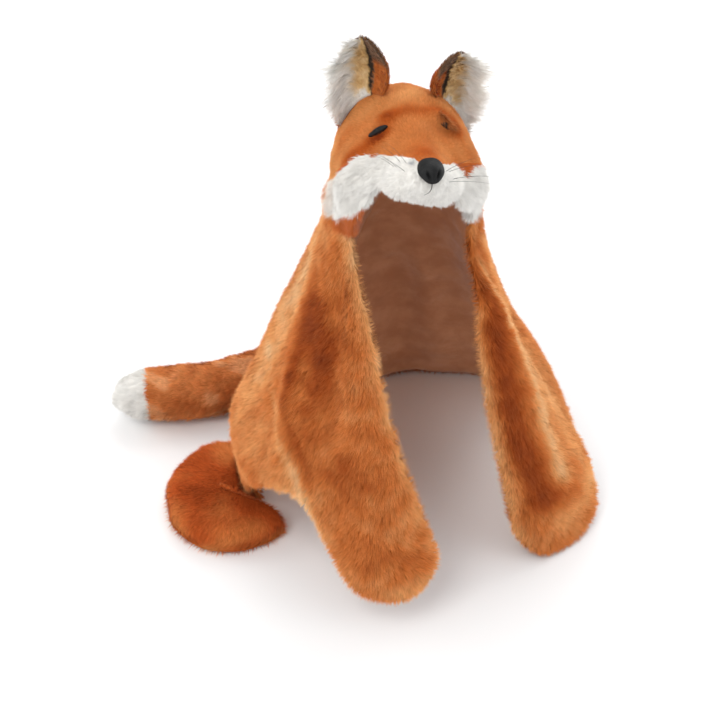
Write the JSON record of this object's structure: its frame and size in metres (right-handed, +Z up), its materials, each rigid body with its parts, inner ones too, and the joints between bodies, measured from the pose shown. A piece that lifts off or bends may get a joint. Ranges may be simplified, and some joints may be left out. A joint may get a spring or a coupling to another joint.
{
  "type": "fox costume",
  "caption": "Hooded plush animal cape: padded fox-head hood with cupped ears, hollow body open in front, hanging front legs, hind legs and a white-tipped tail.",
  "frame": {"origin": "inside of the hood's crown, where the wearer's head holds it up", "axes": "+Z up, -Y along the fox's nose, +X to the wearer's left; the cape below is turned 15 degrees to the wearer's right of the head; the floor the wearer sits on is at z = -0.59"},
  "size_m": [0.6168, 0.6346, 0.6822],
  "materials": {
    "front_right": "long rust-orange pile",
    "front_left": "long rust-orange pile",
    "back_right": "long rust-orange pile",
    "back_left": "long rust-orange pile",
    "hind_leg_right": "dense dark rust pile",
    "hind_leg_left": "dense dark rust pile",
    "tail": "thick orange pile",
    "tail_tip": "thick warm white pile",
    "lining_right": "smooth dusty tan-brown cloth",
    "lining_left": "smooth dusty tan-brown cloth",
    "lining_hood": "smooth dusty tan-brown cloth",
    "hood_bridge": "short orange pile",
    "hood_side_right": "short orange pile",
    "hood_side_left": "short orange pile",
    "cheek_right": "short warm white pile",
    "cheek_left": "short warm white pile",
    "muzzle_right": "short warm white pile",
    "muzzle_left": "short warm white pile",
    "nose": "black low-sheen cloth",
    "eye_right": "black pile",
    "eye_left": "black pile",
    "ear_back_right": "orange pile, brown at the tip",
    "ear_back_left": "orange pile, brown at the tip",
    "ear_inner_right": "golden pile, white at the edge",
    "ear_inner_left": "golden pile, white at the edge"
  },
  "bodies": {
    "root": {"front_right": "front_right", "front_left": "front_left", "back_right": "back_right", "back_left": "back_left", "hind_leg_right": "hind_leg_right", "hind_leg_left": "hind_leg_left", "tail": "tail", "tail_tip": "tail_tip", "lining_right": "lining_right", "lining_left": "lining_left", "lining_hood": "lining_hood", "hood_bridge": "hood_bridge", "hood_side_right": "hood_side_right", "hood_side_left": "hood_side_left", "cheek_right": "cheek_right", "cheek_left": "cheek_left", "muzzle_right": "muzzle_right", "muzzle_left": "muzzle_left", "nose": "nose", "eye_right": "eye_right", "eye_left": "eye_left", "ear_back_right": "ear_back_right", "ear_back_left": "ear_back_left", "ear_inner_right": "ear_inner_right", "ear_inner_left": "ear_inner_left"}
  },
  "joints": []
}
